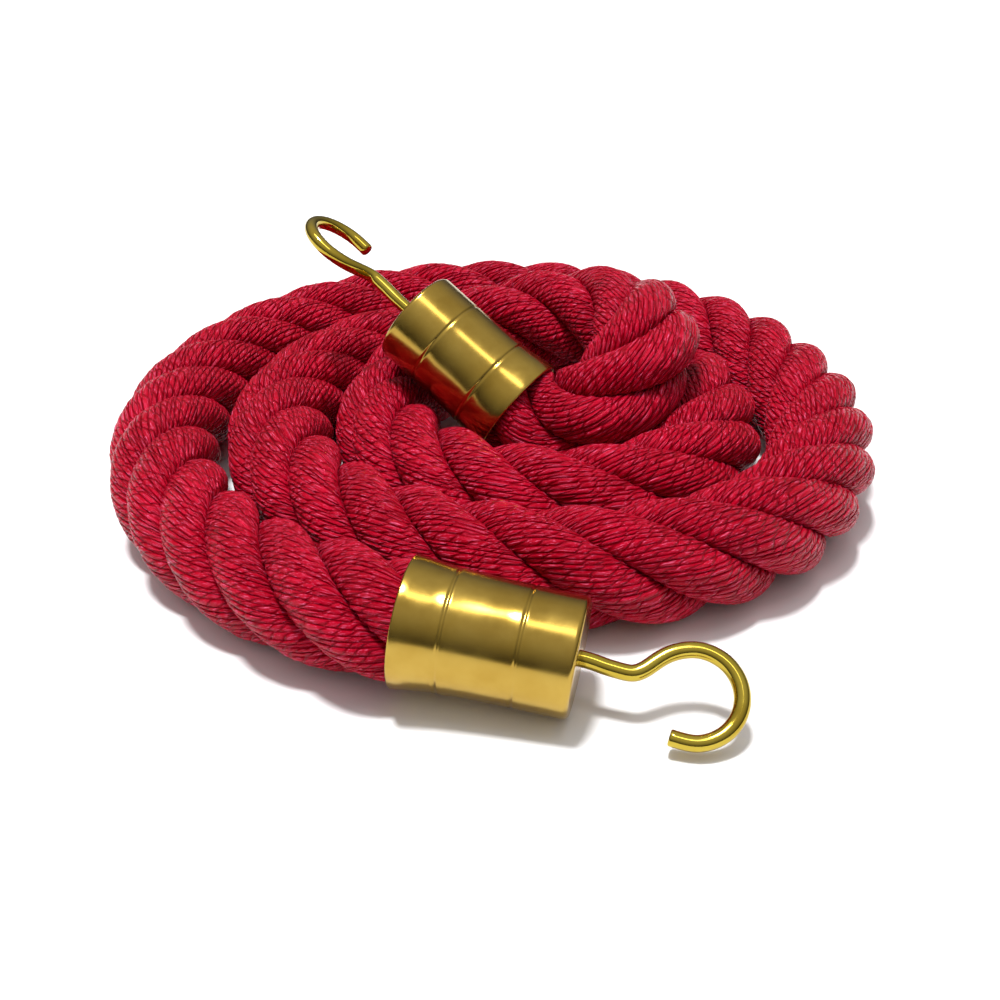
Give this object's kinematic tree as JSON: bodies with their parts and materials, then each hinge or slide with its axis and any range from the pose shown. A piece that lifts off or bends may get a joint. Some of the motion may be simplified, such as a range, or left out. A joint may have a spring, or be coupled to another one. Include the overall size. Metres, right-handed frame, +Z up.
{
  "type": "barrier rope",
  "caption": "Laid barrier rope coiled flat, with a crimped brass cup cap and an open swivel hook on each end, for hanging between barrier posts.",
  "frame": {"origin": "on the surface the rope lies on, under the middle of the whole object's box", "axes": "+Z up, +Y from the front cap's side of the coil to its back, +X to the right seen from the front"},
  "size_m": [0.2717, 0.2969, 0.0877],
  "materials": {
    "rope_fibre": "silky crimson synthetic yarn, laid in four strands",
    "bound_fibre": "the same yarn, squeezed to go into the cap",
    "cap_brass": "polished with a fine turned grain",
    "wire_brass": "bright polished"
  },
  "bodies": {
    "coiled_rope": {"rope": "rope_fibre", "front_bound_end": "bound_fibre", "back_bound_end": "bound_fibre", "front_end_cap": "cap_brass", "back_end_cap": "cap_brass", "front_hook_washer": "cap_brass", "back_hook_washer": "cap_brass"},
    "front_hook": {"front_hook": "wire_brass", "front_hook_nut": "wire_brass"},
    "back_hook": {"back_hook": "wire_brass", "back_hook_nut": "wire_brass"}
  },
  "joints": [
    {"name": "front_hook_swivel", "type": "hinge", "parent": "coiled_rope", "child": "front_hook", "pos_m": [0.02546, -0.12535, 0.01771], "axis": [0.9736, -0.207, -0.0958], "continuous": true},
    {"name": "back_hook_swivel", "type": "hinge", "parent": "coiled_rope", "child": "back_hook", "pos_m": [-0.02916, 0.02154, 0.05885], "axis": [-0.7384, 0.4263, 0.5225], "continuous": true}
  ]
}
